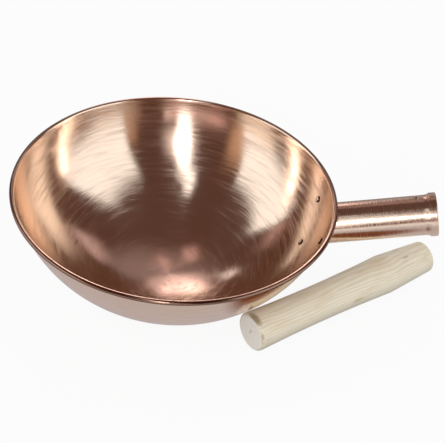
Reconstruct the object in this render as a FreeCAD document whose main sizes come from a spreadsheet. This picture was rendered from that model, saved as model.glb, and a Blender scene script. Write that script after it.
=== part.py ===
import FreeCAD, Part
import math
import os

import Sketcher

# A one-handled copper wok whose turned wooden grip is taken off and lies beside it.
# Millimetres, +Z up. The origin is the middle of the foot, on the floor, and +X points to the handle.

# Driving sizes. Lengths are in millimetres and angles in degrees.
SIZES = [
    # bowl, spun from one sheet
    ("rim_bore", 300.0),
    ("rim_height", 106.0),
    ("bowl_sheet", 1.2),
    ("foot_diameter", 44.0),
    ("foot_corner", 100.0),
    ("foot_turn", 14.0),
    ("bottom_turn", 31.0),
    ("side_turn", 31.0),
    # bead rolled outward along the rim
    ("curl_diameter", 4.6),
    ("curl_turn", 283.0),
    # tube that takes the grip
    ("tube_diameter", 38.6),
    ("tube_sheet", 1.0),
    ("tube_rise", 12.7),
    ("tube_reach", 95.0),
    ("rim_clearance", 0.2),
    ("root_spread", 0.8),
    # mouth of the tube, flared and folded back on itself
    ("flare_radius", 16.5),
    ("flare_turn", 10.0),
    ("hem_length", 7.0),
    ("hem_gap", 0.1),
    # flange that carries the tube on the bowl
    ("seat_clearance", 0.05),
    ("ear_radius", 8.5),
    ("root_blend", 2.5),
    # rivets
    ("pair_spacing", 63.0),
    ("pair_drop", 20.4),
    ("lower_drop", 50.5),
    ("shank_diameter", 4.0),
    ("shank_clearance", 0.05),
    ("head_diameter", 6.6),
    ("head_dome", 0.95),
    ("head_edge", 0.35),
    # hole for the nail that holds the grip
    ("nail_hole", 3.0),
    ("nail_setback", 19.0),
    ("nail_turn", 8.0),
    ("nail_dimple", 5.2),
    ("dimple_depth", 0.45),
    # wooden grip
    ("butt_diameter", 38.2),
    ("butt_band", 6.0),
    ("waist_depth", 1.7),
    ("swell_diameter", 39.8),
    ("hand_length", 163.0),
    ("plug_diameter", 32.2),
    ("plug_length", 55.0),
    ("butt_round", 3.5),
    ("swell_blend", 40.0),
    ("plug_round", 1.5),
    ("centre_mark", 3.0),
    ("centre_depth", 1.6),
    # where the grip lies on the floor
    ("grip_x", 81.2),
    ("grip_y", -92.8),
    ("grip_turn", 36.2),
]

# Sizes that follow from the driving ones.
WORKED = [
    # headings of the bowl's outline where its arcs meet
    ("bottom_heading", "=sizes.foot_turn + sizes.bottom_turn"),
    ("rim_heading", "=bottom_heading + sizes.side_turn"),
    # hollow of the curl, as a radius, and its middle
    ("curl_hollow", "=sizes.curl_diameter / 2 - sizes.bowl_sheet"),
    ("curl_x", "=(sizes.rim_bore + sizes.curl_diameter) / 2"),
    # what the bottom and side arcs have to cover, across and up
    ("run_across", "=curl_x - curl_hollow * sin(rim_heading) - sizes.foot_diameter / 2"
                   " - sizes.foot_corner * sin(sizes.foot_turn)"),
    ("run_up", "=sizes.rim_height + curl_hollow * cos(rim_heading)"
               " - sizes.foot_corner * (1 - cos(sizes.foot_turn))"),
    ("bottom_across", "=sin(bottom_heading) - sin(sizes.foot_turn)"),
    ("side_across", "=sin(rim_heading) - sin(bottom_heading)"),
    ("bottom_up", "=cos(sizes.foot_turn) - cos(bottom_heading)"),
    ("side_up", "=cos(bottom_heading) - cos(rim_heading)"),
    ("spread", "=bottom_across * side_up - side_across * bottom_up"),
    ("bottom_radius", "=(run_across * side_up - run_up * side_across) / spread"),
    ("side_radius", "=(run_up * bottom_across - run_across * bottom_up) / spread"),
    # middles of the bottom and side arcs, and the height where they meet
    ("bottom_x", "=sizes.foot_diameter / 2 + (sizes.foot_corner - bottom_radius) * sin(sizes.foot_turn)"),
    ("bottom_z", "=sizes.foot_corner + (bottom_radius - sizes.foot_corner) * cos(sizes.foot_turn)"),
    ("side_x", "=curl_x - (side_radius + curl_hollow) * sin(rim_heading)"),
    ("side_z", "=sizes.rim_height + (side_radius + curl_hollow) * cos(rim_heading)"),
    ("meeting_z", "=side_z - side_radius * cos(bottom_heading)"),
    # tube axis at its nearest to the curl, and the buried end of the tube before it is cut to the wall
    ("tube_drop", "=(sizes.tube_diameter + sizes.curl_diameter) / 2 + sizes.rim_clearance"),
    ("root_reach", "=sizes.tube_diameter * 1.25"),
    ("root_x", "=curl_x + tube_drop * sin(sizes.tube_rise) - root_reach * cos(sizes.tube_rise)"),
    ("root_z", "=sizes.rim_height - tube_drop * cos(sizes.tube_rise)"
               " - root_reach * sin(sizes.tube_rise)"),
    ("tube_length", "=root_reach + sizes.tube_reach"),
    ("bore_radius", "=sizes.tube_diameter / 2 - sizes.tube_sheet"),
    ("flare_length", "=2 * sizes.flare_radius * sin(sizes.flare_turn)"),
    ("fold_radius", "=sizes.tube_sheet + sizes.hem_gap / 2"),
    # rivets of the pair and the lower one: height, the arc of the wall that each sits on, and its
    # slope and distance from the bowl's axis there
    ("pair_z", "=sizes.rim_height - sizes.pair_drop"),
    ("pair_arc", "=pair_z > meeting_z ? side_radius : bottom_radius"),
    ("pair_slope", "=acos(((pair_z > meeting_z ? side_z : bottom_z) - pair_z) / pair_arc) / 1 deg"),
    ("pair_reach", "=(pair_z > meeting_z ? side_x : bottom_x) + pair_arc * sin(pair_slope)"),
    ("pair_azimuth", "=asin(sizes.pair_spacing / 2 / pair_reach) / 1 deg"),
    ("lower_z", "=sizes.rim_height - sizes.lower_drop"),
    ("lower_arc", "=lower_z > meeting_z ? side_radius : bottom_radius"),
    ("lower_slope", "=acos(((lower_z > meeting_z ? side_z : bottom_z) - lower_z) / lower_arc) / 1 deg"),
    ("lower_reach", "=(lower_z > meeting_z ? side_x : bottom_x) + lower_arc * sin(lower_slope)"),
    # faces of the flange, as distances outside the bowl's outer face, and its spread about the bowl's axis
    ("flange_outside", "=sizes.seat_clearance + sizes.tube_sheet"),
    ("flange_sweep", "=2.1 * asin((sizes.pair_spacing / 2 + sizes.ear_radius) / lower_reach) / 1 deg"),
    ("rivet_grip", "=sizes.bowl_sheet + sizes.seat_clearance + sizes.tube_sheet"
                   " + 2 * sizes.shank_clearance"),
    ("dome_radius", "=((sizes.head_diameter / 2) ^ 2 + sizes.head_dome ^ 2) / (2 * sizes.head_dome)"),
    ("dome_turn", "=asin(sizes.head_diameter / 2 / dome_radius) / 1 deg"),
    ("drill_length", "=6 * sizes.shank_diameter"),
    # waist of the grip, as one arc between its butt band and its swell, and how the grip leans
    ("waist_run", "=sizes.hand_length - sizes.butt_band"),
    ("swell_step", "=(sizes.swell_diameter - sizes.butt_diameter) / 2"),
    ("waist_chord", "=sqrt(waist_run ^ 2 + swell_step ^ 2)"),
    ("waist_radius", "=waist_chord ^ 2 / (8 * sizes.waist_depth) + sizes.waist_depth / 2"),
    ("grip_lean", "=atan(swell_step / waist_run) / 1 deg"),
]


def fill_sheet(doc, name, rows):
    """Write one row for each size: its name, its value or formula, and an alias."""
    sheet = doc.addObject("Spreadsheet::Sheet", name)
    for row, (alias, content) in enumerate(rows, start=1):
        sheet.set(f"A{row}", alias)
        sheet.set(f"B{row}", str(content))
        sheet.setAlias(f"B{row}", alias)
    doc.recompute()


def vector(x, y, z=0.0):
    return FreeCAD.Vector(x, y, z)


def bind(feature, **expressions):
    """Tie properties of a feature to the sheets."""
    for name, expression in expressions.items():
        feature.setExpression(name, expression)
    return feature


def origin_part(body, role):
    """Return the plane or axis of a body's own origin that has this role."""
    return next(part for part in body.Origin.OriginFeatures if part.Role == role)


def new_sketch(body, name, role):
    """Add a sketch that lies on one of the body's origin planes."""
    sketch = body.newObject("Sketcher::SketchObject", name)
    sketch.AttachmentSupport = [(origin_part(body, role), "")]
    sketch.MapMode = "FlatFace"
    return sketch


def value(sketch, expression):
    """Work out an expression of the sheets as a plain number."""
    result = sketch.evalExpression(expression)
    return float(getattr(result, "Value", result))


def dimension(sketch, name, kind, *place, to):
    """Add a named constraint whose value follows an expression of the sheets."""
    number = value(sketch, to)
    if kind == "Angle":
        number = math.radians(number)
    index = sketch.addConstraint(Sketcher.Constraint(kind, *place, number))
    sketch.renameConstraint(index, name)
    sketch.setExpression("Constraints." + name, to)


def hold(sketch, name, stroke, end, across, up):
    """Hold one point of a stroke at a distance across and up from the sketch's origin."""
    dimension(sketch, name + "_across", "DistanceX", *zero_point(), stroke, end, to=across)
    dimension(sketch, name + "_up", "DistanceY", *zero_point(), stroke, end, to=up)


def axis_number(direction):
    """Return the number that a sketch gives to its level or its upright axis."""
    return {"level": -1, "upright": -2}[direction]


def zero_point():
    """Return a sketch's origin, which is the first point of its level axis."""
    return axis_number("level"), 1


def on_axis(sketch, stroke, end, direction):
    """Keep one point of a stroke on the sketch's level or upright axis."""
    sketch.addConstraint(Sketcher.Constraint("PointOnObject", stroke, end, axis_number(direction)))


def bridge(sketch, first, first_end, second, second_end):
    """Join two ends of strokes with a straight line."""
    ends = sketch.getPoint(first, first_end), sketch.getPoint(second, second_end)
    line = sketch.addGeometry(Part.LineSegment(*ends), False)
    sketch.addConstraint(Sketcher.Constraint("Coincident", line, 1, first, first_end))
    sketch.addConstraint(Sketcher.Constraint("Coincident", line, 2, second, second_end))
    return line


class Pen:
    """Draws an outline as straight lines and arcs that follow the sheets.

    The pen has a place and a heading in degrees. A stroke leaves the last one smoothly, unless the
    pen was turned on the spot. Lengths, radii and turns are expressions.
    """

    def __init__(self, sketch, across, up, heading=0.0):
        self.sketch = sketch
        self.place = vector(value(sketch, across), value(sketch, up))
        self.heading = heading
        self.last = None
        self.smooth = True

    def ahead(self, turn=0.0):
        angle = math.radians(self.heading + turn)
        return vector(math.cos(angle), math.sin(angle))

    def turn(self, degrees):
        """Turn on the spot, so that the next stroke leaves at a corner."""
        self.heading += degrees
        self.smooth = False

    def add(self, shape, start, finish):
        """Add a stroke, tie its start to the last one's finish, and return its number."""
        stroke = self.sketch.addGeometry(shape, False)
        if self.last:
            kind = "Tangent" if self.smooth else "Coincident"
            self.sketch.addConstraint(Sketcher.Constraint(kind, *self.last, stroke, start))
        self.last = (stroke, finish)
        return stroke

    def line(self, name, length, fixed=True):
        """Draw a line, level or upright after a corner. A line that isn't fixed keeps no length."""
        start = self.place
        corner = self.last is None or not self.smooth
        self.place = start + self.ahead() * value(self.sketch, length)
        stroke = self.add(Part.LineSegment(start, self.place), 1, 2)
        if corner:
            kind = "Vertical" if abs(self.ahead().y) > 0.5 else "Horizontal"
            self.sketch.addConstraint(Sketcher.Constraint(kind, stroke))
        if fixed:
            dimension(self.sketch, name, "Distance", stroke, to=length)
        self.smooth = True
        return stroke

    def arc(self, name, radius, turn, side=1):
        """Draw an arc that turns left, or right where side is -1."""
        size = value(self.sketch, radius)
        degrees = value(self.sketch, turn)
        centre = self.place + self.ahead(90 * side) * size
        leave = self.heading - 90 * side
        self.heading += degrees * side
        self.place = centre + self.ahead(-90 * side) * size
        limits = sorted((math.radians(leave), math.radians(self.heading - 90 * side)))
        circle = Part.Circle(centre, vector(0, 0, 1), size)
        ends = (1, 2) if side > 0 else (2, 1)
        stroke = self.add(Part.ArcOfCircle(circle, *limits), *ends)
        dimension(self.sketch, name + "_radius", "Radius", stroke, to=radius)
        dimension(self.sketch, name + "_sweep", "Angle", stroke, to=turn)
        self.smooth = True
        return stroke


def turned(body, sketch, axis, name, **expressions):
    """Revolve a sketch about an axis of the body's origin."""
    feature = body.newObject("PartDesign::Revolution", name)
    feature.Profile = sketch
    feature.ReferenceAxis = (origin_part(body, axis), [""])
    sketch.Visibility = False
    return bind(feature, **expressions)


def rounded(body, base, name, edges, radius):
    """Fillet the edges of a feature that a test picks."""
    picked = [f"Edge{number}" for number, edge in enumerate(base.Shape.Edges, start=1) if edges(edge)]
    feature = body.newObject("PartDesign::Fillet", name)
    feature.Base = (base, picked)
    feature.UseAllEdges = False
    return bind(feature, Radius=radius)


def boolean(doc, kind, name, base, tool):
    """Fuse or cut two objects."""
    feature = doc.addObject("Part::" + kind, name)
    feature.Base = base
    feature.Tool = tool
    return feature


def bowl_face(sketch, name, inward):
    """Draw one face of the bowl's sheet, from the middle of the foot to the end of the curl.

    inward is how far this face lies inside the outer one.
    """
    pen = Pen(sketch, "0", inward)
    foot = pen.line(name + "_foot", "sizes.foot_diameter / 2")
    on_axis(sketch, foot, 1, "upright")
    pen.arc(name + "_corner", f"sizes.foot_corner - {inward}", "sizes.foot_turn")
    pen.arc(name + "_bottom", f"worked.bottom_radius - {inward}", "sizes.bottom_turn")
    pen.arc(name + "_side", f"worked.side_radius - {inward}", "sizes.side_turn")
    curl = pen.arc(name + "_curl", f"worked.curl_hollow + {inward}", "sizes.curl_turn", side=-1)
    return foot, curl


def build_bowl_sheet(doc):
    """Spin the bowl, its small flat foot and the rolled rim from one sheet."""
    body = doc.addObject("PartDesign::Body", "bowl_sheet")
    sketch = new_sketch(body, "bowl_section", "XZ_Plane")
    under, hollow = bowl_face(sketch, "outer", "0")
    floor, curl = bowl_face(sketch, "inner", "sizes.bowl_sheet")
    on_axis(sketch, under, 1, "level")
    dimension(sketch, "sheet", "DistanceY", under, 1, floor, 1, to="sizes.bowl_sheet")
    bridge(sketch, under, 1, floor, 1)
    bridge(sketch, hollow, 1, curl, 1)
    turned(body, sketch, "Z_Axis", "bowl_spin")
    return body


def wall_place(row, azimuth):
    """Give the place of a row of rivets on the bowl's outer face, with +Z straight outward."""
    reach = f"worked.{row}_reach"
    spot = f"vector({reach} * cos({azimuth}); {reach} * sin({azimuth}); worked.{row}_z)"
    return f"placement({spot}; rotation({azimuth}; 180 - worked.{row}_slope; 0))"


RIVETS = {
    "near": wall_place("pair", "-worked.pair_azimuth"),
    "far": wall_place("pair", "worked.pair_azimuth"),
    "lower": wall_place("lower", "0"),
}


def build_rivet(doc, where):
    """Turn a rivet with a low domed head inside the bowl and the same head closed on the flange."""
    body = doc.addObject("PartDesign::Body", "rivet_" + where)
    sketch = new_sketch(body, f"rivet_{where}_section", "XZ_Plane")
    shoulder = "(sizes.head_diameter - sizes.shank_diameter) / 2"
    head = "sizes.head_edge + sizes.head_dome"
    seat = "sizes.seat_clearance + sizes.tube_sheet + sizes.shank_clearance"
    pen = Pen(sketch, "0", f"{seat} + {head}")
    crown = pen.arc("outer_dome", "worked.dome_radius", "worked.dome_turn", side=-1)
    on_axis(sketch, crown, 3, "upright")
    on_axis(sketch, crown, 2, "upright")
    dimension(sketch, "crown_height", "DistanceY", *zero_point(), crown, 2, to=f"{seat} + {head}")
    for name, length, turn in (
        ("outer_edge", "sizes.head_edge", -90 - pen.heading),
        ("outer_seat", shoulder, -90),
        ("shank", "worked.rivet_grip", 90),
        ("inner_seat", shoulder, 90),
        ("inner_edge", "sizes.head_edge", -90),
    ):
        pen.turn(turn)
        pen.line(name, length)
    pen.turn(value(sketch, "worked.dome_turn") - 90)
    base = pen.arc("inner_dome", "worked.dome_radius", "worked.dome_turn", side=-1)
    on_axis(sketch, base, 3, "upright")
    bridge(sketch, base, 1, crown, 2)
    turned(body, sketch, "Z_Axis", f"rivet_{where}_turning")
    body.Label = "rivet_" + where
    return bind(body, Placement=RIVETS[where])


def build_rivet_holes(doc):
    """Make the drill cores that pass through the bowl and the flange together."""
    back = "placement(vector(0; 0; -worked.drill_length / 2); rotation(0; 0; 0))"
    cores = []
    for where, place in RIVETS.items():
        core = doc.addObject("Part::Cylinder", f"core_{where}")
        radius = "sizes.shank_diameter / 2 + sizes.shank_clearance"
        cores.append(bind(core, Radius=radius, Height="worked.drill_length", Placement=f"{place} * {back}"))
    holes = doc.addObject("Part::Compound", "rivet_holes")
    holes.Links = cores
    return holes


def wall_arcs(sketch, name, away):
    """Draw the bottom and side arcs of the bowl's wall up to the curl, this far outside its outer face."""
    radius = f"(worked.bottom_radius + {away})"
    height = f"worked.bottom_z - {radius} * cos(sizes.foot_turn)"
    pen = Pen(sketch, f"worked.bottom_x + {radius} * sin(sizes.foot_turn)", height)
    pen.heading = value(sketch, "sizes.foot_turn")
    bottom = pen.arc(name + "_bottom", radius, "sizes.bottom_turn")
    hold(sketch, name + "_middle", bottom, 3, "worked.bottom_x", "worked.bottom_z")
    dimension(sketch, name + "_start", "DistanceY", *zero_point(), bottom, 1, to=height)
    side = pen.arc(name + "_side", f"worked.side_radius + {away}", "sizes.side_turn")
    return bottom, side


def ear_outline(sketch):
    """Draw the flange's outline, seen along X: three rounded ears with tangents between them."""
    centres = [
        vector(value(sketch, "sizes.pair_spacing / 2"), value(sketch, "worked.pair_z")),
        vector(0, value(sketch, "worked.lower_z")),
        vector(value(sketch, "-sizes.pair_spacing / 2"), value(sketch, "worked.pair_z")),
    ]
    radius = value(sketch, "sizes.ear_radius")
    ears = []
    for before, centre, after in zip(centres[-1:] + centres, centres, centres[1:] + centres[:1]):
        out = [(centre - before), (after - centre)]
        first, last = (math.atan2(side.y, side.x) + math.pi / 2 for side in out)
        if last > first:
            last -= 2 * math.pi
        circle = Part.Circle(centre, vector(0, 0, 1), radius)
        ears.append(sketch.addGeometry(Part.ArcOfCircle(circle, last, first), False))
    for ear, following in zip(ears, ears[1:] + ears[:1]):
        ends = sketch.getPoint(ear, 1), sketch.getPoint(following, 2)
        line = sketch.addGeometry(Part.LineSegment(*ends), False)
        sketch.addConstraint(Sketcher.Constraint("Tangent", line, 1, ear, 1))
        sketch.addConstraint(Sketcher.Constraint("Tangent", line, 2, following, 2))
    for number, ear in enumerate(ears):
        dimension(sketch, f"ear{number}_radius", "Radius", ear, to="sizes.ear_radius")
    hold(sketch, "side_ear", ears[0], 3, "sizes.pair_spacing / 2", "worked.pair_z")
    on_axis(sketch, ears[1], 3, "upright")
    dimension(sketch, "lower_ear_up", "DistanceY", *zero_point(), ears[1], 3, to="worked.lower_z")
    sketch.addConstraint(Sketcher.Constraint("Symmetric", ears[0], 3, ears[2], 3, axis_number("upright")))


def build_flange(doc):
    """Form the flange that hugs the bowl's outer face, and cut it to its three ears."""
    body = doc.addObject("PartDesign::Body", "flange")
    section = new_sketch(body, "flange_section", "XZ_Plane")
    inside = wall_arcs(section, "inside", "sizes.seat_clearance")
    outside = wall_arcs(section, "outside", "worked.flange_outside")
    bridge(section, inside[0], 1, outside[0], 1)
    bridge(section, inside[1], 2, outside[1], 2)
    turned(body, section, "Z_Axis", "flange_patch", Angle="worked.flange_sweep").Midplane = True
    doc.recompute()

    outline = new_sketch(body, "flange_outline", "YZ_Plane")
    ear_outline(outline)
    reach = value(outline, "sizes.rim_bore")
    signs = ((-1, -1), (1, -1), (1, 1), (-1, 1))
    corners = [vector(reach * across, reach * up) for across, up in signs]
    for start, finish in zip(corners, corners[1:] + corners[:1]):
        edge = outline.addGeometry(Part.LineSegment(start, finish), False)
        outline.addConstraint(Sketcher.Constraint("Block", edge))
    trim = body.newObject("PartDesign::Pocket", "flange_trim")
    trim.Profile = outline
    trim.Type = "ThroughAll"
    trim.Reversed = True
    outline.Visibility = False
    return body


TUBE_PLACE = "placement(vector(worked.root_x; 0; worked.root_z); rotation(0; -sizes.tube_rise; 0))"


def spread_line(sketch, name, stroke, end, radius):
    """Draw a line to one end of a stroke from the tube's buried end, at a radius there."""
    start = vector(0, value(sketch, radius))
    line = sketch.addGeometry(Part.LineSegment(start, sketch.getPoint(stroke, end)), False)
    sketch.addConstraint(Sketcher.Constraint("Coincident", line, 2, stroke, end))
    hold(sketch, name, line, 1, "0", radius)
    return line


def build_tube(doc):
    """Turn the tube as one sheet along its own axis: spread at the root, flared and hemmed at the mouth."""
    body = doc.addObject("PartDesign::Body", "tube")
    sketch = new_sketch(body, "tube_section", "XZ_Plane")
    layer = "sizes.hem_length - worked.fold_radius"
    straight = "sizes.tube_reach - sizes.hem_length - worked.flare_length"
    pen = Pen(sketch, "worked.root_reach", "worked.bore_radius")
    bore = pen.line("bore", straight)
    hold(sketch, "bore_start", bore, 1, "worked.root_reach", "worked.bore_radius")
    pen.arc("bore_flare", "sizes.flare_radius", "sizes.flare_turn")
    pen.arc("bore_return", "sizes.flare_radius", "sizes.flare_turn", side=-1)
    pen.line("mouth", layer)
    pen.arc("fold", "worked.fold_radius", "180")
    pen.line("hem_top", layer)
    pen.turn(90)
    pen.line("hem_edge", "sizes.tube_sheet")
    pen.turn(90)
    pen.line("hem_under", layer)
    pen.arc("crease", "sizes.hem_gap / 2", "180", side=-1)
    pen.line("neck", layer)
    pen.arc("skin_return", "sizes.flare_radius + sizes.tube_sheet", "sizes.flare_turn")
    pen.arc("skin_flare", "sizes.flare_radius - sizes.tube_sheet", "sizes.flare_turn", side=-1)
    skin = pen.line("skin", straight, fixed=False)
    sketch.addConstraint(Sketcher.Constraint("Vertical", skin, 2, bore, 1))
    inner = spread_line(sketch, "inner_root", bore, 1, "worked.bore_radius + sizes.root_spread")
    outer = spread_line(sketch, "outer_root", skin, 2, "sizes.tube_diameter / 2 + sizes.root_spread")
    bridge(sketch, inner, 1, outer, 1)
    turned(body, sketch, "X_Axis", "tube_turning")
    return bind(body, Placement=TUBE_PLACE)


def build_wall_core(doc):
    """Make the space inside the bowl's outer face, which the tube's root is cut to."""
    body = doc.addObject("PartDesign::Body", "wall_core")
    sketch = new_sketch(body, "wall_core_section", "XZ_Plane")
    levels = []
    for arc, end in zip(wall_arcs(sketch, "wall", "sizes.seat_clearance"), (1, 2)):
        start = sketch.getPoint(arc, end)
        level = sketch.addGeometry(Part.LineSegment(start, vector(0, start.y)), False)
        sketch.addConstraint(Sketcher.Constraint("Coincident", level, 1, arc, end))
        sketch.addConstraint(Sketcher.Constraint("Horizontal", level))
        on_axis(sketch, level, 2, "upright")
        levels.append(level)
    bridge(sketch, levels[0], 2, levels[1], 2)
    turned(body, sketch, "Z_Axis", "wall_core_spin")
    return body


def build_socket(doc, rivet_holes):
    """Join the tube to its flange, blend the root, and drill the rivet and nail holes."""
    flange = build_flange(doc)
    tube = build_tube(doc)
    core = build_wall_core(doc)
    opening = doc.addObject("Part::Cone", "flange_opening")
    bind(
        opening,
        Radius1="worked.bore_radius + sizes.root_spread",
        Radius2="worked.bore_radius",
        Height="worked.root_reach",
        Placement=f"{TUBE_PLACE} * placement(vector(0; 0; 0); rotation(0; 90; 0))",
    )
    collar = boolean(doc, "Cut", "open_flange", flange, opening)
    trimmed = boolean(doc, "Cut", "trimmed_tube", tube, core)
    joined = boolean(doc, "Fuse", "joined_socket", collar, trimmed)
    doc.recompute()

    body = doc.addObject("PartDesign::Body", "blended_socket")
    body.BaseFeature = joined
    doc.recompute()
    base = body.Group[0]
    axis_start = tube.Placement.Base
    axis = tube.Placement.Rotation.multVec(vector(1, 0, 0))
    skin = value(body, "sizes.tube_diameter / 2")
    spread = value(body, "sizes.root_spread")
    reach = value(body, "worked.root_reach")
    outside = value(body, "worked.flange_outside")

    def off_wall(point):
        """Return how far a point lies outside the bowl's outer face."""
        arc = "side" if point.z > value(body, "worked.meeting_z") else "bottom"
        across = math.hypot(point.x, point.y) - value(body, f"worked.{arc}_x")
        height = point.z - value(body, f"worked.{arc}_z")
        return math.hypot(across, height) - value(body, f"worked.{arc}_radius")

    def at_root(edge):
        """Tell whether an edge lies both on the tube's skin and on the flange's outer face."""
        for point in edge.discretize(5):
            buried = 1 - (point - axis_start).dot(axis) / reach
            off_skin = point.distanceToLine(axis_start, axis) - skin - spread * max(0, buried)
            if abs(off_skin) > 0.01 or abs(off_wall(point) - outside) > 0.01:
                return False
        return True

    rounded(body, base, "root_blend", at_root, "sizes.root_blend")
    return body


def build_nail_hole(doc):
    """Make the punch that leaves the nail hole and its shallow dimple in the tube's skin."""
    spot = "vector(worked.tube_length - sizes.nail_setback; 0; 0)"
    place = f"{TUBE_PLACE} * placement({spot}; rotation(0; 0; -sizes.nail_turn))"
    punch = doc.addObject("Part::Cylinder", "nail_punch")
    bind(punch, Radius="sizes.nail_hole / 2", Height="sizes.tube_diameter", Placement=place)
    dimple = doc.addObject("Part::Cone", "nail_dimple")
    lift = "placement(vector(0; 0; sizes.tube_diameter / 2 - sizes.dimple_depth); rotation(0; 0; 0))"
    bind(
        dimple,
        Radius1="sizes.nail_hole / 2",
        Radius2="sizes.nail_dimple / 2",
        Height="sizes.dimple_depth",
        Placement=f"{place} * {lift}",
    )
    return boolean(doc, "Fuse", "nail_hole", punch, dimple)


def build_grip(doc):
    """Turn the wooden grip: rounded butt with a centre mark, waist, swell and tapered plug."""
    body = doc.addObject("PartDesign::Body", "wooden_grip")
    sketch = new_sketch(body, "grip_section", "XZ_Plane")
    butt = "sizes.butt_diameter / 2"
    swell = "sizes.swell_diameter / 2"
    plug = "sizes.plug_diameter / 2"
    whole = "sizes.hand_length + sizes.plug_length"
    pin = vector(value(sketch, "sizes.centre_depth"), 0)
    lip = vector(0, value(sketch, "sizes.centre_mark / 2"))
    rim = vector(0, value(sketch, butt))
    band = vector(value(sketch, "sizes.butt_band"), rim.y)
    crest = vector(value(sketch, "sizes.hand_length"), value(sketch, swell))
    tip = vector(value(sketch, whole), value(sketch, plug))
    foot = vector(tip.x, 0)

    mark = sketch.addGeometry(Part.LineSegment(pin, lip), False)
    face = sketch.addGeometry(Part.LineSegment(lip, rim), False)
    ring = sketch.addGeometry(Part.LineSegment(rim, band), False)
    chord = crest - band
    sag = value(sketch, "sizes.waist_depth") / chord.Length
    dip = (band + crest) * 0.5 + vector(chord.y, -chord.x) * sag
    waist = sketch.addGeometry(Part.Arc(band, dip, crest), False)
    taper = sketch.addGeometry(Part.LineSegment(crest, tip), False)
    end = sketch.addGeometry(Part.LineSegment(tip, foot), False)
    axis = sketch.addGeometry(Part.LineSegment(foot, pin), False)
    strokes = [mark, face, ring, waist, taper, end, axis]
    for stroke, following in zip(strokes, strokes[1:] + strokes[:1]):
        sketch.addConstraint(Sketcher.Constraint("Coincident", stroke, 2, following, 1))
    hold(sketch, "pin", axis, 2, "sizes.centre_depth", "0")
    hold(sketch, "lip", mark, 2, "0", "sizes.centre_mark / 2")
    hold(sketch, "butt", face, 2, "0", butt)
    hold(sketch, "band", ring, 2, "sizes.butt_band", butt)
    hold(sketch, "crest", taper, 1, "sizes.hand_length", swell)
    hold(sketch, "tip", taper, 2, whole, plug)
    hold(sketch, "plug_middle", end, 2, whole, "0")
    dimension(sketch, "waist_radius", "Radius", waist, to="worked.waist_radius")
    turning = turned(body, sketch, "X_Axis", "grip_turning")
    doc.recompute()

    def ring_at(place):
        """Return a test for the full circle whose middle lies at a distance along the grip."""
        def test(edge):
            round_edge = isinstance(edge.Curve, Part.Circle) and edge.Curve.Radius > lip.y * 2
            return round_edge and abs(edge.Curve.Center.x - place) < 0.01
        return test

    blends = (
        ("butt_round", rim.x, "sizes.butt_round"),
        ("plug_round", tip.x, "sizes.plug_round"),
        ("swell_blend", crest.x, "sizes.swell_blend"),
    )
    feature = turning
    for name, place, radius in blends:
        feature = rounded(body, feature, name, ring_at(place), radius)
        doc.recompute()
    height = f"({butt}) * cos(worked.grip_lean) - sizes.butt_band * sin(worked.grip_lean)"
    lean = "rotation(sizes.grip_turn; -worked.grip_lean; 0)"
    return bind(body, Placement=f"placement(vector(sizes.grip_x; sizes.grip_y; {height}); {lean})")


def check(doc):
    """Stop where an object of the document failed or a shape is empty or not valid."""
    for part in doc.Objects:
        if "Invalid" in part.State or "Error" in part.State:
            raise RuntimeError(f"{part.Label} did not build: {part.State}")
        shape = getattr(part, "Shape", None)
        if shape is not None and (shape.isNull() or not shape.isValid()):
            raise RuntimeError(f"{part.Label} has no valid shape")


def main():
    os.makedirs("parts", exist_ok=True)
    doc = FreeCAD.newDocument("wok")
    fill_sheet(doc, "sizes", SIZES)
    fill_sheet(doc, "worked", WORKED)

    rivet_holes = build_rivet_holes(doc)
    bowl = boolean(doc, "Cut", "bowl", build_bowl_sheet(doc), rivet_holes)
    blended = build_socket(doc, rivet_holes)
    riveted = boolean(doc, "Cut", "drilled_socket", blended, rivet_holes)
    socket = boolean(doc, "Cut", "handle_socket", riveted, build_nail_hole(doc))
    rivets = [build_rivet(doc, where) for where in RIVETS]
    grip = build_grip(doc)
    doc.recompute()
    check(doc)

    for part in (bowl, socket, *rivets, grip):
        part.Shape.exportStep(f"parts/{part.Label}.step")


main()
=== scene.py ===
import math

import bpy
from mathutils import Matrix, Vector


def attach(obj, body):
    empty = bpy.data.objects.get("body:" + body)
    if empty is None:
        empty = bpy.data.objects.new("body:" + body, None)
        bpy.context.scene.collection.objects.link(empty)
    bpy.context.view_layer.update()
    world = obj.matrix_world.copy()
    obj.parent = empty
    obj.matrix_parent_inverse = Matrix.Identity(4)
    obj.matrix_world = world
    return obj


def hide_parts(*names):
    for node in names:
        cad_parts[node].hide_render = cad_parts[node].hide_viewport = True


# A one-handled copper wok on a pale floor, with its turned wooden grip taken off and lying in front.
# Metres, +Z up. Sizes of the pieces are written in millimetres and turned to metres by MM. The
# distances of the studio's panels are written in metres, and their angles in degrees.
MM = 0.001

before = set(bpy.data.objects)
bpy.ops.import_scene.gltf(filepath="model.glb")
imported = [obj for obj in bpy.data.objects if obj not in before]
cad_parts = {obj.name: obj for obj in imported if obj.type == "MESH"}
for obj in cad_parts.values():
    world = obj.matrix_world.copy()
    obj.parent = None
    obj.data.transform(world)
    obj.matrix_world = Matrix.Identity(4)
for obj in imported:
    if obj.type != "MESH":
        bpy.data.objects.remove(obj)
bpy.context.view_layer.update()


# Tools shared by all pieces and finishes.

def linear(colour):
    """Turn an sRGB hex value into the linear colour that the shaders take."""
    parts = [int(colour[at:at + 2], 16) / 255 for at in (1, 3, 5)]
    light = [part / 12.92 if part <= 0.04045 else ((part + 0.055) / 1.055) ** 2.4 for part in parts]
    return (*light, 1.0)


def add(tree, kind, values=None, links=None, **settings):
    """Add one node, with its settings, the values of its sockets and what feeds them.

    A link that names a whole node comes from its first output.
    """
    node = tree.nodes.new(kind)
    for name, setting in settings.items():
        setattr(node, name, setting)
    for socket, value in (values or {}).items():
        node.inputs[socket].default_value = value
    for socket, source in (links or {}).items():
        if isinstance(source, bpy.types.Node):
            source = source.outputs[0]
        tree.links.new(source, node.inputs[socket])
    return node


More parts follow.
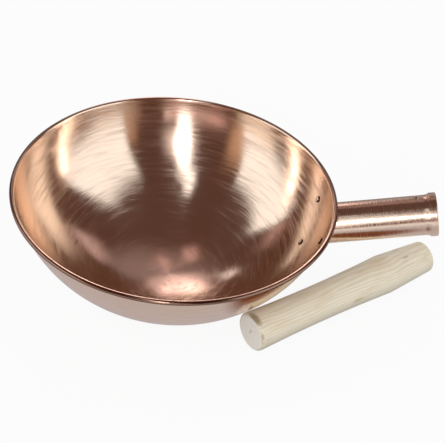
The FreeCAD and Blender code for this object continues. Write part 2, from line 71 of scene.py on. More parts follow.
def blank_finish(name):
    """Start a finish with no nodes in it."""
    finish = bpy.data.materials.new(name)
    finish.use_nodes = True
    finish.node_tree.nodes.clear()
    return finish


def put(mesh, name, finish):
    """Place a mesh in the scene under a name, with its finish."""
    piece = bpy.data.objects.new(name, mesh)
    mesh.materials.append(finish)
    bpy.context.scene.collection.objects.link(piece)
    return piece


def walk(start, strokes):
    """Follow a section's outline stroke by stroke and return its points. It starts out level.

    A stroke is (length, turn, steps). A straight stroke has no turn, and a turn is in degrees,
    to the left where it is above zero.
    """
    x, z = start
    heading = 0.0
    points = [(x, z)]
    for length, turn, steps in strokes:
        part, bend = length / steps, math.radians(turn / steps)
        chord = part * (math.sin(bend / 2) / (bend / 2) if bend else 1.0)
        for _ in range(steps):
            angle = math.radians(heading) + bend / 2
            x, z = x + chord * math.cos(angle), z + chord * math.sin(angle)
            points.append((x, z))
            heading += turn / steps
    return points


def spin(name, outline, sectors):
    """Turn an outline of (radius, height) points in millimetres about the upright axis."""
    points, faces = [], []
    for number in range(sectors):
        angle = 2 * math.pi * number / sectors
        points += [(r * math.cos(angle) * MM, r * math.sin(angle) * MM, z * MM) for r, z in outline]
    rows = len(outline)
    for number in range(sectors):
        here, there = number * rows, (number + 1) % sectors * rows
        faces += [(here + at, there + at, there + at + 1, here + at + 1) for at in range(rows - 1)]
    mesh = bpy.data.meshes.new(name)
    mesh.from_pydata(points, [], faces)
    mesh.shade_smooth()
    return mesh


# The bowl: 1.2 mm copper sheet, spun over a form, with its rim rolled outward into a bead.

SHEET = 1.2
BOWL_SECTORS = 400

# The flat of the foot, from its middle outward, and then the arcs of the outer face up to the end
# of the bead, each as (radius, turn, steps). The radii of the bottom and the side are those that
# the source works out from the bore and the height of the rim.
FOOT_RADIUS = 22.0
FOOT_STEPS = 5
FOOT_CORNER = (100.0, 14.0, 10)
BOTTOM = (147.333, 31.0, 32)
SIDE = (138.696, 31.0, 32)
CURL = (1.07, -283.0, 26)

# The round of the inside over the foot, out to where it meets the sheet's own inner face: its
# height is a level, plus a share of the reach squared, plus a share of its fourth power.
ROUND_REACH = 75.5
ROUND_LEVEL = 0.3
ROUND_SQUARED = 0.0018704
ROUND_FOURTH = 1.243e-7


def bowl_face(inward):
    """Follow one face of the sheet from the middle of the foot to the end of the rolled rim.

    Inward, the arcs that turn up get smaller, and the curl, which turns down, gets larger.
    """
    strokes = [(FOOT_RADIUS, 0.0, FOOT_STEPS)]
    for radius, turn, steps in (FOOT_CORNER, BOTTOM, SIDE, CURL):
        bent = radius - math.copysign(inward, turn)
        strokes.append((bent * math.radians(abs(turn)), turn, steps))
    return walk((0.0, inward), strokes)


def rounded(reach, height):
    """Return the height of the inside, which is worked to an even bowl over the flat of the foot."""
    if reach > ROUND_REACH:
        return height
    return ROUND_LEVEL + ROUND_SQUARED * reach ** 2 + ROUND_FOURTH * reach ** 4


def spun_bowl(finish):
    """Spin the bowl and its rolled rim as one closed sheet.

    Inside, the middle is round where the foot is flat, so that no disc shows there.
    """
    inside = [(r, rounded(r, z)) for r, z in bowl_face(SHEET)]
    outside = bowl_face(0.0)
    bowl = put(spin("spun_bowl", inside + outside[::-1], BOWL_SECTORS), "spun_bowl", finish)
    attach(bowl, "root")
    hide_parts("bowl")


# The rivets: copper, driven through the bowl and the flange, with a head spun over at each end.
# Each is (height, distance to the side). The seats are where the inner and the outer head start,
# measured out from the bowl's outer face. The head's outline is (radius, height) from its foot to
# the middle of its crown.

RIVETS = {"rivet_near": (85.6, -31.5), "rivet_far": (85.6, 31.5), "rivet_lower": (55.5, 0.0)}
INNER_SEAT = -1.25
OUTER_SEAT = 1.1
RIVET_SECTORS = 64
HEAD = ((2.0, 0.0), (2.9, 0.02), (3.2, 0.04), (3.3, 0.13), (3.27, 0.3), (3.15, 0.5), (2.92, 0.72),
        (2.6, 0.9), (2.2, 1.04), (1.8, 1.1), (1.5, 1.13), (1.25, 1.19), (0.9, 1.25), (0.5, 1.29),
        (0.0, 1.3))


def wall_spot(height):
    """Find how far out the bowl's outer face is at a height, and the (radius, height) way it faces."""
    face = bowl_face(0.0)
    for start, end in zip(face, face[1:]):
        if start[1] <= height <= end[1] and end[0] > start[0]:
            share = (height - start[1]) / (end[1] - start[1])
            run, rise = end[0] - start[0], end[1] - start[1]
            size = math.hypot(run, rise)
            return start[0] + share * run, (rise / size, -run / size)


def headed_rivet(name, finish):
    """Turn one rivet, with the same head inside the bowl and on the flange."""
    height, aside = RIVETS[name]
    reach, facing = wall_spot(height)
    angle = math.asin(aside / reach)
    outward = Vector((facing[0] * math.cos(angle), facing[0] * math.sin(angle), facing[1]))
    place = Vector((reach * math.cos(angle), reach * math.sin(angle), height)) * MM
    inner = [(r, INNER_SEAT - z) for r, z in reversed(HEAD)]
    outer = [(r, OUTER_SEAT + z) for r, z in HEAD]
    rivet = put(spin(name, inner + outer, RIVET_SECTORS), "headed_" + name, finish)
    rivet.matrix_world = Matrix.Translation(place) @ outward.to_track_quat("Z", "Y").to_matrix().to_4x4()
    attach(rivet, "root")
    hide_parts(name)


# Finishes. Marks left by spinning and turning are (across, along): how many fit in a radian round
# the axis, and how many in a metre along it or up the wall.

# Polished copper. It mirrors a white light almost as cream. The browns come from the dark cloth
# that it mirrors.
COPPER = "#FBE4D0"


def from_the_axis(tree):
    """Give a place, its part that lies flat, and its distance from the upright axis."""
    place = add(tree, "ShaderNodeTexCoord").outputs["Object"]
    flat = add(tree, "ShaderNodeVectorMath", {1: (1.0, 1.0, 0.0)}, {0: place}, operation="MULTIPLY")
    reach = add(tree, "ShaderNodeVectorMath", links={0: flat}, operation="LENGTH").outputs["Value"]
    return place, flat, reach


def lathe_marks(tree, way_round, climb, across, along):
    """Give the coordinates of marks that run round an axis, from the way round it and along it."""
    rows = add(tree, "ShaderNodeMath", {1: along}, {0: climb}, operation="MULTIPLY")
    sweep = add(tree, "ShaderNodeVectorMath", {"Scale": across}, {0: way_round}, operation="SCALE")
    lift = add(tree, "ShaderNodeCombineXYZ", links={"Z": rows})
    return add(tree, "ShaderNodeVectorMath", links={0: sweep, 1: lift}, operation="ADD")


def bowl_marks(tree, marks, wander=None):
    """Give coordinates that run round the bowl and up its wall, for marks left by spinning.

    The reach and the height added up stand for the way up the wall. wander is how far a ring
    strays up or down it.
    """
    place, flat, reach = from_the_axis(tree)
    height = add(tree, "ShaderNodeSeparateXYZ", links={0: place}).outputs["Z"]
    climb = add(tree, "ShaderNodeMath", links={0: reach, 1: height}, operation="ADD")
    if wander is not None:
        climb = add(tree, "ShaderNodeMath", links={0: climb, 1: wander}, operation="ADD")
    way_round = add(tree, "ShaderNodeVectorMath", links={0: flat}, operation="NORMALIZE")
    return lathe_marks(tree, way_round, climb, *marks)


# The bowl's rings, its duller bands, and how the rings stray up and down the wall.
BOWL_RINGS = (4.0, 450.0)
DULL_BANDS = (3.0, 230.0)
STRAYING = (4.0, 25.0)
STRAY_REACH = 6 * MM
RING_DEPTH = 0.08 * MM


def spun_copper():
    """Copper sheet, spun on a lathe and polished while it turned.

    The polishing leaves hair-fine rings, so lights draw out along the wall, across the rings. Real
    rings lie about 0.1 mm apart; they are drawn up to 2 mm apart so that they show, and they stray
    a little up and down the wall. Bands of rings that took less polish are duller, and they fray
    the edges of each light sideways; the dullest show as darker hairlines. Towards the middle the
    bands are brighter and the rings die out, and slight waves take their place. Outside, round the
    bead, dark brown is painted as painted shade and dark reflection.
    """
    finish = blank_finish("spun_copper")
    tree = finish.node_tree
    place, _, reach = from_the_axis(tree)
    stray = add(tree, "ShaderNodeTexNoise", {"Scale": 1.0, "Detail": 1.0},
                {"Vector": bowl_marks(tree, STRAYING)})
    wander = add(tree, "ShaderNodeMapRange", {"To Min": -STRAY_REACH, "To Max": STRAY_REACH},
                 {"Value": stray})
    rings = add(tree, "ShaderNodeTexNoise", {"Scale": 1.0, "Detail": 4.0, "Roughness": 0.55},
                {"Vector": bowl_marks(tree, BOWL_RINGS, wander)})
    bands = add(tree, "ShaderNodeTexNoise", {"Scale": 1.0, "Detail": 4.0, "Roughness": 0.6},
                {"Vector": bowl_marks(tree, DULL_BANDS)})
    off_centre = add(tree, "ShaderNodeMapRange", {"From Min": 20 * MM, "From Max": 100 * MM},
                     {"Value": reach})
    ringed = add(tree, "ShaderNodeMath", links={0: rings, 1: off_centre}, operation="MULTIPLY")
    uneven = add(tree, "ShaderNodeTexNoise", {"Scale": 30.0, "Detail": 0.5}, {"Vector": place})
    low_down = add(tree, "ShaderNodeMapRange",
                   {"From Min": 130 * MM, "From Max": 50 * MM, "To Min": 1.0, "To Max": 7.0},
                   {"Value": reach})
    height = add(tree, "ShaderNodeMath", links={0: uneven, 1: low_down, 2: ringed}, operation="MULTIPLY_ADD")
    bump = add(tree, "ShaderNodeBump", {"Strength": 1.0, "Distance": RING_DEPTH}, {"Height": height})
    calm = add(tree, "ShaderNodeMapRange",
               {"From Min": 30 * MM, "From Max": 110 * MM, "To Min": 0.86, "To Max": 1.0}, {"Value": reach})
    fading = add(tree, "ShaderNodeMath", links={0: bands, 1: calm}, operation="MULTIPLY")
    dullness = add(tree, "ShaderNodeMapRange",
                   {"From Min": 0.45, "From Max": 0.66, "To Min": 0.13, "To Max": 0.245}, {"Value": fading})
    hairlines = add(tree, "ShaderNodeMapRange", {"From Min": 0.5, "From Max": 0.75}, {"Value": fading})
    tone = add(tree, "ShaderNodeMix", {"A": linear(COPPER), "B": linear("#F5DCCB")}, {"Factor": hairlines},
               data_type="RGBA")
    # Dark brown is painted round the outside of the bead as painted shade and dark reflection.
    bead_shade_mask = add(tree, "ShaderNodeMapRange",
                    {"From Min": 151.6 * MM, "From Max": 153.4 * MM, "To Max": 0.85}, {"Value": reach})
    bead_shaded_tone = add(tree, "ShaderNodeMix", {"B": linear("#7A5240")},
                    {"Factor": bead_shade_mask, "A": tone.outputs["Result"]}, data_type="RGBA")
    tangent = add(tree, "ShaderNodeTangent", direction_type="RADIAL", axis="Z")
    metal = add(
        tree, "ShaderNodeBsdfPrincipled",
        {"Metallic": 1.0, "Anisotropic": 0.8, "Anisotropic Rotation": 0.25},
        {"Base Color": bead_shaded_tone.outputs["Result"], "Roughness": dullness, "Normal": bump,
         "Tangent": tangent},
    )
    add(tree, "ShaderNodeOutputMaterial", links={"Surface": metal})
    return finish


TUBE_START = Vector((157.09, 0.0, 84.73)) * MM
TUBE_RISE = math.radians(12.7)
TUBE_AXIS = Vector((math.cos(TUBE_RISE), 0.0, math.sin(TUBE_RISE)))
TUBE_RINGS = (1.6, 1250.0)
TUBE_MARK_DEPTH = 0.04 * MM


def turned_copper():
    """Copper tube, turned and polished round its own axis, with its flange.

    The rings left by turning lie about 0.2 mm apart, and lights draw out along the tube, across
    them. They are drawn up to 0.8 mm apart so that they show, and duller rings fray the lights
    finely round the tube. Shallow dents about 6 mm across are left from forming it.
    """
    finish = blank_finish("turned_copper")
    tree = finish.node_tree
    place = add(tree, "ShaderNodeTexCoord").outputs["Object"]
    arm = add(tree, "ShaderNodeVectorMath", {1: TUBE_START}, {0: place}, operation="SUBTRACT")
    sideways = add(tree, "ShaderNodeVectorMath", {0: TUBE_AXIS}, {1: arm}, operation="CROSS_PRODUCT")
    way_round = add(tree, "ShaderNodeVectorMath", links={0: sideways}, operation="NORMALIZE")
    climb = add(tree, "ShaderNodeVectorMath", {1: TUBE_AXIS}, {0: arm}, operation="DOT_PRODUCT")
    marks = add(tree, "ShaderNodeTexNoise", {"Scale": 1.0, "Detail": 5.0, "Roughness": 0.75},
                {"Vector": lathe_marks(tree, way_round, climb.outputs["Value"], *TUBE_RINGS)})
    dents = add(tree, "ShaderNodeTexNoise", {"Scale": 160.0, "Detail": 1.0}, {"Vector": place})
    both = add(tree, "ShaderNodeMath", {1: 1.2}, {0: dents, 2: marks}, operation="MULTIPLY_ADD")
    bump = add(tree, "ShaderNodeBump", {"Strength": 1.0, "Distance": TUBE_MARK_DEPTH}, {"Height": both})
    dullness = add(tree, "ShaderNodeMapRange",
                   {"From Min": 0.4, "From Max": 0.75, "To Min": 0.18, "To Max": 0.35}, {"Value": marks})
    metal = add(
        tree, "ShaderNodeBsdfPrincipled",
        {"Base Color": linear(COPPER), "Metallic": 1.0, "Anisotropic": 0.6, "Anisotropic Rotation": 0.25},
        {"Roughness": dullness, "Normal": bump, "Tangent": way_round},
    )
    add(tree, "ShaderNodeOutputMaterial", links={"Surface": metal})
    return finish


def rivet_copper():
    """Cold-headed copper rivets, bright on the crown, with a dark brown ring painted low on the head as
    painted shade and dark reflection.
    """
    finish = blank_finish("rivet_copper")
    tree = finish.node_tree
    reach = from_the_axis(tree)[2]
    # Dark brown is painted round the low part of the head as painted shade and dark reflection.
    low = add(tree, "ShaderNodeMapRange", {"From Min": 2.1 * MM, "From Max": 2.5 * MM}, {"Value": reach})
    tone = add(tree, "ShaderNodeMix", {"A": linear(COPPER), "B": linear("#4C2817")}, {"Factor": low},
               data_type="RGBA")
    metal = add(tree, "ShaderNodeBsdfPrincipled", {"Metallic": 1.0, "Roughness": 0.18},
                {"Base Color": tone.outputs["Result"]})
    add(tree, "ShaderNodeOutputMaterial", links={"Surface": metal})
    return finish


def near(tree, place, spot, reach):
    """Tell how near a place is to a spot, in millimetres: 1 at its middle, and 0 beyond its reach."""
    apart = add(tree, "ShaderNodeVectorMath", {1: Vector(spot) * MM}, {0: place}, operation="SUBTRACT")
    scaled = add(tree, "ShaderNodeVectorMath", {1: Vector(reach) * MM}, {0: apart}, operation="DIVIDE")
    size = add(tree, "ShaderNodeVectorMath", links={0: scaled}, operation="LENGTH")
    return add(tree, "ShaderNodeMapRange", {"From Min": 1.0, "From Max": 0.2},
               {"Value": size.outputs["Value"]}, interpolation_type="SMOOTHSTEP")


# The grip's own frame starts at the middle of its butt and runs along its axis. Fibres and clouds
# are how many fit in a metre along it, across it and up.
GRIP_START = Vector((81.2, -92.8, 19.1)) * MM
GRIP_TURN = math.radians(36.2)
FIBRES = (12.0, 1250.0, 1250.0)
CLOUDS = (22.0, 90.0, 90.0)
FIBRE_DEPTH = 0.2 * MM


def turned_wood():
    """Pale softwood, turned and sanded, and left without oil.

    Growth rings 2 to 4 mm apart run out along the grip as long, faint lines. The fibres are under
    0.05 mm wide; they are drawn 0.8 mm wide and up to 80 mm long so that they show. Heart wood lies
    in tan clouds along the upper side, a pin knot sits near the end of the plug, and a fainter one
    lies half way along. Greyer, darker colour is painted underneath as painted shade, and the wood is
    greyer where the butt cuts across the grain. The butt's edge is brown on top and pitted on one
    side, and the lathe's centre has left a grey mark.
    """
    finish = blank_finish("turned_wood")
    tree = finish.node_tree
    place = add(tree, "ShaderNodeTexCoord").outputs["Object"]
    grip = add(tree, "ShaderNodeMapping", {"Location": GRIP_START, "Rotation": (0.0, 0.0, GRIP_TURN)},
               {"Vector": place}, vector_type="TEXTURE")
    # The growth rings' own middle lies outside the piece, so they cross it as long lines.
    heart = add(tree, "ShaderNodeMapping", {"Location": (0.0, 34 * MM, 52 * MM), "Scale": (0.25, 1.0, 1.0)},
                {"Vector": grip})
    years = add(tree, "ShaderNodeTexWave",
                {"Scale": 110.0, "Distortion": 9.0, "Detail": 2.0, "Detail Scale": 0.5,
                 "Detail Roughness": 0.6},
                {"Vector": heart}, wave_type="RINGS", rings_direction="X")
    drawn = add(tree, "ShaderNodeMapping", {"Scale": FIBRES}, {"Vector": grip})
    fibres = add(tree, "ShaderNodeTexNoise", {"Scale": 1.0, "Detail": 4.0, "Roughness": 0.7},
                 {"Vector": drawn})
    broad = add(tree, "ShaderNodeMapping", {"Scale": CLOUDS}, {"Vector": grip})
    clouds = add(tree, "ShaderNodeTexNoise", {"Scale": 1.0, "Detail": 3.0, "Roughness": 0.6},
                 {"Vector": broad})
    speck = add(tree, "ShaderNodeTexNoise", {"Scale": 700.0, "Detail": 2.0}, {"Vector": place})
    level = add(tree, "ShaderNodeSeparateXYZ", links={0: grip}).outputs["Z"]
    upper = add(tree, "ShaderNodeMapRange",
                {"From Min": -15 * MM, "From Max": 20 * MM, "To Min": -0.14, "To Max": 0.09},
                {"Value": level})
    heart_wood = add(tree, "ShaderNodeMath", links={0: clouds, 1: upper}, operation="ADD")
    pin_knot = near(tree, grip, (184.9, -5.3, 17.4), (6.0, 1.6, 3.0))
    small_knot = near(tree, grip, (116.2, -18.0, 2.5), (9.0, 3.0, 3.0))
    worn_edge = near(tree, grip, (2.0, -2.0, 18.5), (6.0, 16.0, 5.0))
    rough_edge = near(tree, grip, (1.0, -16.0, 6.0), (4.0, 9.0, 14.0))
    pits = add(tree, "ShaderNodeMath", links={0: rough_edge, 1: speck}, operation="MULTIPLY")
    tone = add(tree, "ShaderNodeMix", {"A": linear("#E0D9C8"), "B": linear("#D6CBB2")},
               {"Factor": years.outputs["Fac"]}, data_type="RGBA").outputs["Result"]
    # Each entry, a stain or the painted shade underneath, is its source, where on that it starts and is
    # full, how strong it gets, and its colour.
    stains_and_shade = (
        (heart_wood, 0.54, 0.76, 0.45, "#CDB591"),
        (fibres, 0.52, 0.8, 0.75, "#B09C78"),
        # Greyer, darker colour towards the underside is painted shade.
        (level, 6 * MM, -16 * MM, 0.85, "#B9B7AA"),
        (pin_knot, 0.0, 1.0, 0.7, "#8A7352"),
        (small_knot, 0.0, 1.0, 0.5, "#A98F66"),
        (worn_edge, 0.0, 1.0, 0.8, "#7E684B"),
        (pits, 0.3, 0.5, 0.7, "#8F8064"),
    )
    for source, start, full, strength, mark_colour in stains_and_shade:
        share = add(tree, "ShaderNodeMapRange", {"From Min": start, "From Max": full, "To Max": strength},
                    {"Value": source})
        tone = add(tree, "ShaderNodeMix", {"B": linear(mark_colour)}, {"Factor": share, "A": tone},
                   data_type="RGBA").outputs["Result"]
    facing = add(tree, "ShaderNodeNewGeometry").outputs["Normal"]
    axis = (math.cos(GRIP_TURN), math.sin(GRIP_TURN), 0.0)
    ahead = add(tree, "ShaderNodeVectorMath", {1: axis}, {0: facing}, operation="DOT_PRODUCT")
    butt = add(tree, "ShaderNodeMapRange", {"From Min": -0.8, "From Max": -0.97},
               {"Value": ahead.outputs["Value"]})
    end_grain = add(tree, "ShaderNodeMix", {"A": linear("#EDEBE6"), "B": linear("#D3CEC2")},
                    {"Factor": speck}, data_type="RGBA")
    lathe_centre = near(tree, grip, (0.0, -0.6, 2.6), (4.0, 1.1, 3.5))
    marked_end = add(tree, "ShaderNodeMix", {"B": linear("#A9A294")},
                     {"Factor": lathe_centre, "A": end_grain.outputs["Result"]}, data_type="RGBA")
    whole = add(tree, "ShaderNodeMix", links={"Factor": butt, "A": tone, "B": marked_end.outputs["Result"]},
                data_type="RGBA")
    bump = add(tree, "ShaderNodeBump", {"Strength": 0.5, "Distance": FIBRE_DEPTH}, {"Height": fibres})
    wood = add(tree, "ShaderNodeBsdfPrincipled", {"Roughness": 0.62},
               {"Base Color": whole.outputs["Result"], "Normal": bump})
    add(tree, "ShaderNodeOutputMaterial", links={"Surface": wood})
    return finish


# The studio: a pale floor in a white room, two softboxes, a strip light behind the camera, and
# smaller lights and dark cloth all round that show only in reflections.

# Panels curve round the middle, with a point about every six degrees.
STUDIO_MIDDLE = Vector((0.0, 0.0, 0.05))
PANEL_STEP = 6
ALL_RAYS = ("visible_camera", "visible_diffuse", "visible_glossy", "visible_transmission",
            "visible_volume_scatter", "visible_shadow")
MIRRORED = ("visible_glossy",)
LIGHTING = ("visible_diffuse",)
CORNERS = ((0.0, 0.0), (1.0, 0.0), (1.0, 1.0), (0.0, 1.0))


def stand(name, points, faces, marks, finish, seen_by):
    """Make one panel of the studio, with its marks for fading its edges, seen only by some rays."""
    mesh = bpy.data.meshes.new(name)
    mesh.from_pydata(points, [], faces)
    layer = mesh.uv_layers.new(name="panel")
    for loop in mesh.loops:
        layer.data[loop.index].uv = marks[loop.vertex_index]
    panel = put(mesh, name, finish)
    for ray in ALL_RAYS:
        setattr(panel, ray, ray in seen_by)


def curved_panel(name, foot, head, elevations, distance, finish, seen_by):
    """Stand a curved panel round the wok, from its azimuths at the foot to those at the head.

    Azimuth 0 is behind the wok, and 90 is past its handle.
    """
    across = max(2, round((foot[1] - foot[0]) / PANEL_STEP))
    up = max(2, round((elevations[1] - elevations[0]) / PANEL_STEP))
    points, faces, marks = [], [], []
    for row in range(up + 1):
        rise = row / up
        elevation = math.radians(elevations[0] + (elevations[1] - elevations[0]) * rise)
        start, end = (foot[side] + (head[side] - foot[side]) * rise for side in (0, 1))
        for column in range(across + 1):
            azimuth = math.radians(start + (end - start) * column / across)
            out = Vector((math.sin(azimuth) * math.cos(elevation),
                          math.cos(azimuth) * math.cos(elevation), math.sin(elevation)))
            points.append(STUDIO_MIDDLE + out * distance)
            marks.append((column / across, rise))
    for row in range(up):
        for column in range(across):
            at = row * (across + 1) + column
            faces.append((at, at + across + 1, at + across + 2, at + 1))
    stand(name, points, faces, marks, finish, seen_by)


def floor_card(name, middle, reach, height, finish):
    """Lay a round card on the floor that shows only in reflections, as shade under or beside the wok."""
    points = [Vector((middle[0] + (2 * u - 1) * reach[0], middle[1] + (2 * v - 1) * reach[1], height)) * MM
              for u, v in CORNERS]
    stand(name, points, [(0, 1, 2, 3)], CORNERS, finish, MIRRORED)


def shine(tree, share, tint, strength):
    """Give light from a panel, which is clear where the share is 0."""
    light = add(tree, "ShaderNodeEmission", {"Color": linear(tint), "Strength": strength})
    clear = add(tree, "ShaderNodeBsdfTransparent")
    mixed = add(tree, "ShaderNodeMixShader", links={0: share, 1: clear, 2: light})
    add(tree, "ShaderNodeOutputMaterial", links={"Surface": mixed})


def glow(name, strength, fades, tint):
    """Light from a softbox's cloth, which fades over a share of it at the left, right, low and top."""
    finish = blank_finish(name)
    tree = finish.node_tree
    place = add(tree, "ShaderNodeUVMap", uv_map="panel")
    sides = add(tree, "ShaderNodeSeparateXYZ", links={0: place})
    left, right, low, top = fades
    spans = (("X", 0.0, left), ("X", 1.0, 1.0 - right), ("Y", 0.0, low), ("Y", 1.0, 1.0 - top))
    edges = [add(tree, "ShaderNodeMapRange", {"From Min": start, "From Max": end},
                 {"Value": sides.outputs[axis]}, interpolation_type="SMOOTHSTEP")
             for axis, start, end in spans]
    share = edges[0]
    for edge in edges[1:]:
        share = add(tree, "ShaderNodeMath", links={0: share, 1: edge}, operation="MULTIPLY")
    shine(tree, share, tint, strength)
    return finish


def shade(name, tint, strength):
    """Shade on a card, which fades out towards its round edge."""
    finish = blank_finish(name)
    tree = finish.node_tree
    place = add(tree, "ShaderNodeUVMap", uv_map="panel")
    apart = add(tree, "ShaderNodeVectorMath", {1: (0.5, 0.5, 0.0)}, {0: place}, operation="DISTANCE")
    share = add(tree, "ShaderNodeMapRange", {"From Min": 0.5, "From Max": 0.3},
                {"Value": apart.outputs["Value"]}, interpolation_type="SMOOTHSTEP")
    shine(tree, share, tint, strength)
    finish.cycles.emission_sampling = "NONE"
    return finish


def dark_cloth():
    """Dark brown cloth hung round the set, with the little light that it sends back."""
    finish = blank_finish("dark_cloth")
    tree = finish.node_tree
    light = add(tree, "ShaderNodeEmission", {"Color": linear("#FFBBA4"), "Strength": 0.098})
    add(tree, "ShaderNodeOutputMaterial", links={"Surface": light})
    finish.cycles.emission_sampling = "NONE"
    return finish


WHITE = "#FFFFFF"
FLOOR_REACH = 12.0
FLOOR_LEVEL = -0.2 * MM
# How much of the floor's white is its own, where it is seen straight and where it is mirrored.
WHITE_SEEN = 0.92
WHITE_MIRRORED = 0.06


def pale_floor():
    """Matt white floor. Part of its white is its own, so that it stays white and keeps a faint shadow."""
    finish = blank_finish("pale_floor")
    tree = finish.node_tree
    matt = add(tree, "ShaderNodeBsdfDiffuse", {"Color": linear("#CFCFCF")})
    white = add(tree, "ShaderNodeEmission", {"Color": linear(WHITE), "Strength": 1.0})
    path = add(tree, "ShaderNodeLightPath").outputs
    straight = add(tree, "ShaderNodeMath", {1: WHITE_SEEN}, {0: path["Is Camera Ray"]}, operation="MULTIPLY")
    indirect = add(tree, "ShaderNodeMath", links={0: path["Is Glossy Ray"], 1: path["Is Transmission Ray"]},
                   operation="MAXIMUM")
    mirrored = add(tree, "ShaderNodeMath", {1: WHITE_MIRRORED}, {0: indirect}, operation="MULTIPLY")
    share = add(tree, "ShaderNodeMath", links={0: straight, 1: mirrored}, operation="MAXIMUM")
    mixed = add(tree, "ShaderNodeMixShader", links={0: share, 1: matt, 2: white})
    add(tree, "ShaderNodeOutputMaterial", links={"Surface": mixed})
    finish.cycles.emission_sampling = "NONE"
    mesh = bpy.data.meshes.new("floor")
    corners = [((2 * u - 1) * FLOOR_REACH, (2 * v - 1) * FLOOR_REACH, 0.0) for u, v in CORNERS]
    mesh.from_pydata(corners, [], [(0, 1, 2, 3)])
    floor = put(mesh, "floor", finish)
    floor.location.z = FLOOR_LEVEL


ROOM_LIGHT = 0.92


def soft_room():
    """White room light: full white where it is seen, and softer as light on the pieces."""
    room = bpy.data.worlds.new("soft_room")
    bpy.context.scene.world = room
    room.use_nodes = True
    tree = room.node_tree
    tree.nodes.clear()
    path = add(tree, "ShaderNodeLightPath").outputs
    seen = add(tree, "ShaderNodeMath", links={0: path["Is Camera Ray"], 1: path["Is Glossy Ray"]},
               operation="MAXIMUM")
    seen = add(tree, "ShaderNodeMath", links={0: seen, 1: path["Is Transmission Ray"]}, operation="MAXIMUM")
    strength = add(tree, "ShaderNodeMapRange", {"To Min": ROOM_LIGHT, "To Max": 1.0}, {"Value": seen})
    light = add(tree, "ShaderNodeBackground", {"Color": linear(WHITE)}, {"Strength": strength})
    add(tree, "ShaderNodeOutputWorld", links={"Surface": light})
    room.cycles.sampling_method = "NONE"


# Each light is its name, its azimuths at the foot and at the head, its elevations, its distance,
# its strength, the shares over which it fades at the left, right, low and top, and its tint.

WARM = "#FFCEC7"
TAN = "#FFC9A2"
ROSE = "#FFE4DE"

# The two softboxes, and the strip light with its slanting head, its haze and its bright lamp.
SOFTBOXES = (
    ("softbox_right", (70, 139), (84, 138), (0, 60), 4.0, 1.12, (0.08, 0.04, 0.04, 0.25), WHITE),
    ("softbox_left", (221, 298), (241, 298), (0, 44), 4.0, 1.14, (0.06, 0.04, 0.04, 0.15), WHITE),
    ("strip_light", (175, 187), (180, 197), (3, 61), 1.6, 2.3, (0.3, 0.3, 0.1, 0.2), WHITE),
    ("strip_head", (184, 202), (198, 216), (54, 74), 1.1, 1.8, (0.2, 0.2, 0.1, 0.3), WHITE),
    ("strip_haze", (160, 199), (162, 201), (16, 48), 1.7, 1.3, (0.5, 0.5, 0.4, 0.4), "#FFEEEA"),
    ("lamp", (176, 185), (178, 188), (26, 42), 1.55, 14.0, (0.3, 0.3, 0.3, 0.3), WHITE),
)

# Lights that show only in reflections: beside the softboxes, low in front, and behind the wok.
ECHOES = (
    ("tan_right", (134, 152), (134, 146), (2, 34), 4.1, 0.45, (0.1, 0.4, 0.2, 0.5), TAN),
    ("tan_left", (212, 232), (218, 244), (2, 42), 4.1, 0.6, (0.4, 0.1, 0.2, 0.6), TAN),
    ("low_glow", (142, 222), (146, 218), (0, 14), 4.1, 1.1, (0.2, 0.2, 0.02, 0.7), WARM),
    ("rear_light", (349, 366), (346, 364), (14, 42), 1.0, 3.8, (0.4, 0.4, 0.1, 0.6), "#FFDDDA"),
    ("rear_wash", (325, 405), (335, 395), (28, 64), 4.2, 0.24, (0.4, 0.4, 0.3, 0.6), "#FFDAD4"),
    ("rear_left", (328, 343), (328, 343), (29, 37), 4.1, 1.0, (0.4, 0.4, 0.4, 0.4), "#FFF0EE"),
    ("spot_near", (357, 367), (357, 367), (43, 53), 4.1, 0.6, (0.3, 0.3, 0.3, 0.3), WARM),
    ("spot_far", (343, 354), (343, 354), (49, 60), 4.1, 0.65, (0.3, 0.3, 0.3, 0.3), WARM),
    ("patch_left", (158, 174), (160, 176), (1, 11), 3.9, 1.1, (0.3, 0.3, 0.3, 0.3), ROSE),
    ("patch_right", (191, 200), (191, 200), (0, 7), 3.9, 0.8, (0.3, 0.3, 0.3, 0.3), ROSE),
    ("rear_far", (297, 320), (297, 316), (12, 32), 4.1, 0.5, (0.1, 0.5, 0.2, 0.5), WARM),
    ("rear_right", (22, 56), (22, 50), (14, 44), 4.1, 0.55, (0.4, 0.3, 0.2, 0.5), "#FFDAD8"),
    ("rear_wall", (330, 390), (330, 390), (-6, 28), 4.25, 0.34, (0.3, 0.3, 0.02, 0.2), "#FFF0F0"),
)

# Light from the front left that falls on the pieces and shows in no reflection.
FILLS = (("fill", (185, 275), (185, 275), (5, 60), 5.0, 1.6, (0.1, 0.1, 0.1, 0.1), WHITE),)

# The dark cloth hangs all round the set, in two belts of elevations.
CLOTH_BELTS = {"cloth_round": (0, 38), "cloth_over": (38, 90)}
CLOTH_DISTANCE = 6.0

# A strip of the dark cloth stands in front of the tube and shows only in reflections.
FLAG = ((110.0, -450.0, 95.0), (280.0, -450.0, 95.0), (280.0, -450.0, 200.0), (110.0, -450.0, 200.0))

# Each card is its name, its middle, its reach sideways and front to back, its height, its tint
# and its strength. All lie between the floor and the foot of the wok.
CARDS = (
    ("shade_round", (0.0, 0.0), (560.0, 560.0), -0.15, "#BDB7BA", 1.0),
    ("shade_back", (0.0, 1500.0), (1800.0, 1800.0), -0.18, "#8A7A74", 0.8),
    ("shade_handle", (174.0, -105.0), (106.0, 104.0), -0.1, "#9A552C", 0.5),
)


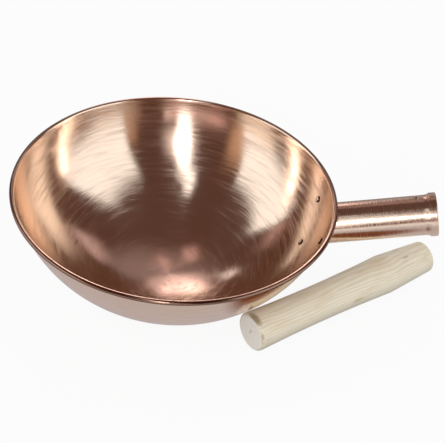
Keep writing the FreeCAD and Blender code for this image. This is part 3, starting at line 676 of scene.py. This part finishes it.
def studio():
    """Set up the floor, the room, the cloth, the lights and the cards."""
    pale_floor()
    soft_room()
    cloth = dark_cloth()
    for name, elevations in CLOTH_BELTS.items():
        curved_panel(name, (0, 360), (0, 360), elevations, CLOTH_DISTANCE, cloth, MIRRORED)
    for seen_by, lights in ((MIRRORED + LIGHTING, SOFTBOXES), (MIRRORED, ECHOES), (LIGHTING, FILLS)):
        for name, foot, head, elevations, distance, strength, fades, tint in lights:
            light = glow(name, strength, fades, tint)
            curved_panel(name, foot, head, elevations, distance, light, seen_by)
    stand("flag", [Vector(corner) * MM for corner in FLAG], [(0, 1, 2, 3)], CORNERS, cloth, MIRRORED)
    for name, middle, reach, height, tint, strength in CARDS:
        floor_card(name, middle, reach, height, shade(name, tint, strength))


# Where the photograph was taken from, worked out from the outline of the rim and the bowl: the eye,
# the ways that are right, down and forward in the picture, and the lens with its sensor.

EYE = Vector((4.08, -887.44, 812.57)) * MM
RIGHT = Vector((0.99558, 0.02606, 0.09018))
DOWN = Vector((0.08591, -0.64009, -0.76348))
FORWARD = Vector((0.03783, 0.76785, -0.63951))
FOCAL_LENGTH = 97.08
SENSOR_WIDTH = 36.0
NEAREST = 0.05
FARTHEST = 60.0


def camera():
    """Look at the wok from where the photograph was taken."""
    lens = bpy.data.cameras.new("camera")
    lens.sensor_width = SENSOR_WIDTH
    lens.lens = FOCAL_LENGTH
    lens.clip_start = NEAREST
    lens.clip_end = FARTHEST
    viewer = bpy.data.objects.new("camera", lens)
    turn = Matrix((RIGHT, -DOWN, -FORWARD)).transposed()
    viewer.matrix_world = Matrix.Translation(EYE) @ turn.to_4x4()
    bpy.context.scene.collection.objects.link(viewer)
    bpy.context.scene.camera = viewer


def main():
    """Dress the wok and its grip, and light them."""
    bpy.context.scene.view_settings.view_transform = "Standard"
    spun_bowl(spun_copper())
    rivet = rivet_copper()
    for name in RIVETS:
        headed_rivet(name, rivet)
    for node, finish in {"handle_socket": turned_copper(), "wooden_grip": turned_wood()}.items():
        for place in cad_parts[node].material_slots:
            place.material = finish
    studio()
    camera()
    bpy.context.view_layer.update()


main()
